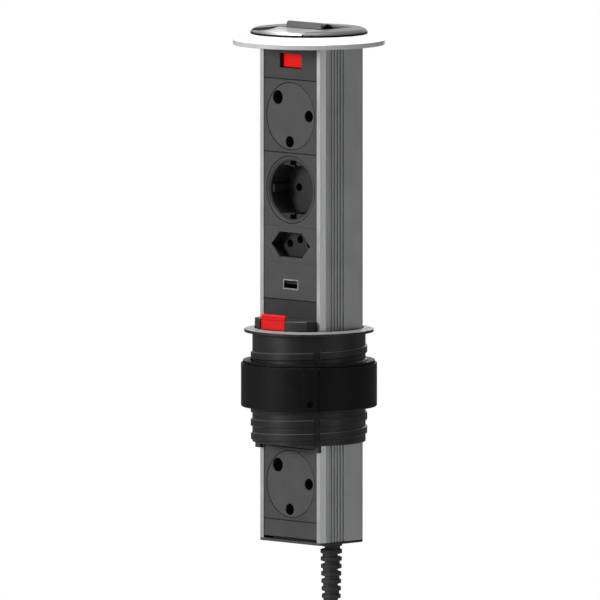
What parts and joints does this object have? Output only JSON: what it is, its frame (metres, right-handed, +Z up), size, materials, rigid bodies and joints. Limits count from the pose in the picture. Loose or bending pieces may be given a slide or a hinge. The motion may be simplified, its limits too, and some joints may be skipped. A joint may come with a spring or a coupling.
{
  "type": "pop up desk socket",
  "caption": "Column of mains and USB sockets that slides up out of a round desk grommet, held by a ring nut under the desk, with a capped lid and a coiled lead.",
  "frame": {"origin": "middle of the desk hole, on the underside of the flange that rests on the desk", "axes": "+Z up along the column, -Y out of the socket faces, +X to the right of the sockets"},
  "size_m": [0.1535, 0.1014, 0.5683],
  "materials": {
    "black_plastic": "satin black thermoplastic",
    "nut_plastic": "black glass filled plastic",
    "module_plastic": "dark grey plastic",
    "insert_plastic": "dark grey plastic",
    "well_plastic": "black plastic",
    "column_aluminium": "satin anodised extrusion",
    "red_plastic": "glossy red plastic",
    "white_plastic": "glossy white plastic",
    "cap_plastic": "dark grey plastic",
    "flap_plastic": "satin black plastic",
    "dish_chrome": "polished chrome",
    "brass": "contact brass",
    "steel": "plain steel",
    "screw_steel": "blackened steel",
    "rubber": "black rubber",
    "brake_felt": "dense rubber pad",
    "cord_rubber": "black round mains cord",
    "wire_insulation": "coloured core insulation",
    "board": "green circuit board"
  },
  "bodies": {
    "mount": {"threaded_sleeve": "black_plastic", "side_guides": "black_plastic", "rear_guides": "black_plastic", "front_guides": "black_plastic", "brake_pad": "brake_felt", "brake_spring": "steel"},
    "washer": {"thrust_washer": "nut_plastic"},
    "nut": {"ring_nut": "nut_plastic", "nut_screw": "screw_steel"},
    "key": {"release_key": "red_plastic"},
    "button": {"cover_button": "red_plastic"},
    "flap": {"grip_flap": "flap_plastic"},
    "column": {"column_profile": "column_aluminium", "top_module": "module_plastic", "button_spring": "steel", "type_m_frame_upper": "module_plastic", "type_m_insert_upper": "insert_plastic", "type_m_contacts": "brass", "schuko_frame": "module_plastic", "schuko_insert": "well_plastic", "schuko_earth_clip": "steel", "schuko_contacts": "brass", "type_n_module": "module_plastic", "type_n_contacts": "brass", "usb_module": "module_plastic", "usb_shell": "steel", "usb_tongue": "black_plastic", "usb_board": "board", "latch_module": "module_plastic", "key_spring": "steel", "blank_covers": "module_plastic", "type_m_frame_lower": "module_plastic", "type_m_insert_lower": "insert_plastic", "end_cover": "module_plastic", "end_plate": "module_plastic", "end_screws": "screw_steel", "line_bar": "brass", "neutral_bar": "brass", "earth_bar": "brass", "bar_carrier": "well_plastic", "core_wires": "wire_insulation", "cord_inner": "cord_rubber", "cord_clamp": "black_plastic", "clamp_screws": "screw_steel", "cord_boot": "rubber", "pull_out_stop": "black_plastic", "cover_disc": "white_plastic", "cap_riser": "white_plastic", "cap_base": "nut_plastic", "cap_shell": "cap_plastic", "finger_dish": "dish_chrome", "cap_screws": "screw_steel", "flap_pin": "steel", "power_cord": "cord_rubber", "cord_coil": "cord_rubber", "coil_tie": "rubber", "plug_lead": "cord_rubber", "plug_boot": "rubber", "plug_body": "black_plastic", "plug_pins": "brass"}
  },
  "joints": [
    {"name": "column_slide", "type": "slide", "parent": "mount", "child": "column", "axis": [0, 0, 1], "range_m": [-0.1893, 0]},
    {"name": "washer_slide", "type": "slide", "parent": "mount", "child": "washer", "axis": [0, 0, 1], "range_m": [-0.018, 0.009]},
    {"name": "nut_turn", "type": "hinge", "parent": "washer", "child": "nut", "pos_m": [0, 0, 0], "axis": [0, 0, 1], "range_deg": [-720, 360]},
    {"name": "key_press", "type": "slide", "parent": "column", "child": "key", "axis": [0, 1, 0], "range_m": [0, 0.002], "stiffness_N_per_m": 1500, "springref_m": -0.001, "deforming": ["key_spring"]},
    {"name": "button_press", "type": "slide", "parent": "column", "child": "button", "axis": [0, 1, 0], "range_m": [0, 0.0015], "stiffness_N_per_m": 1200, "springref_m": -0.001, "deforming": ["button_spring"]},
    {"name": "flap_hinge", "type": "hinge", "parent": "column", "child": "flap", "pos_m": [0, 0.022, 0.2014], "axis": [-1, 0, 0], "range_deg": [-9.3, 55]}
  ],
  "couplings": [
    {"joint": "washer_slide", "follows": "nut_turn", "m_per_rad": 0.0014324}
  ]
}
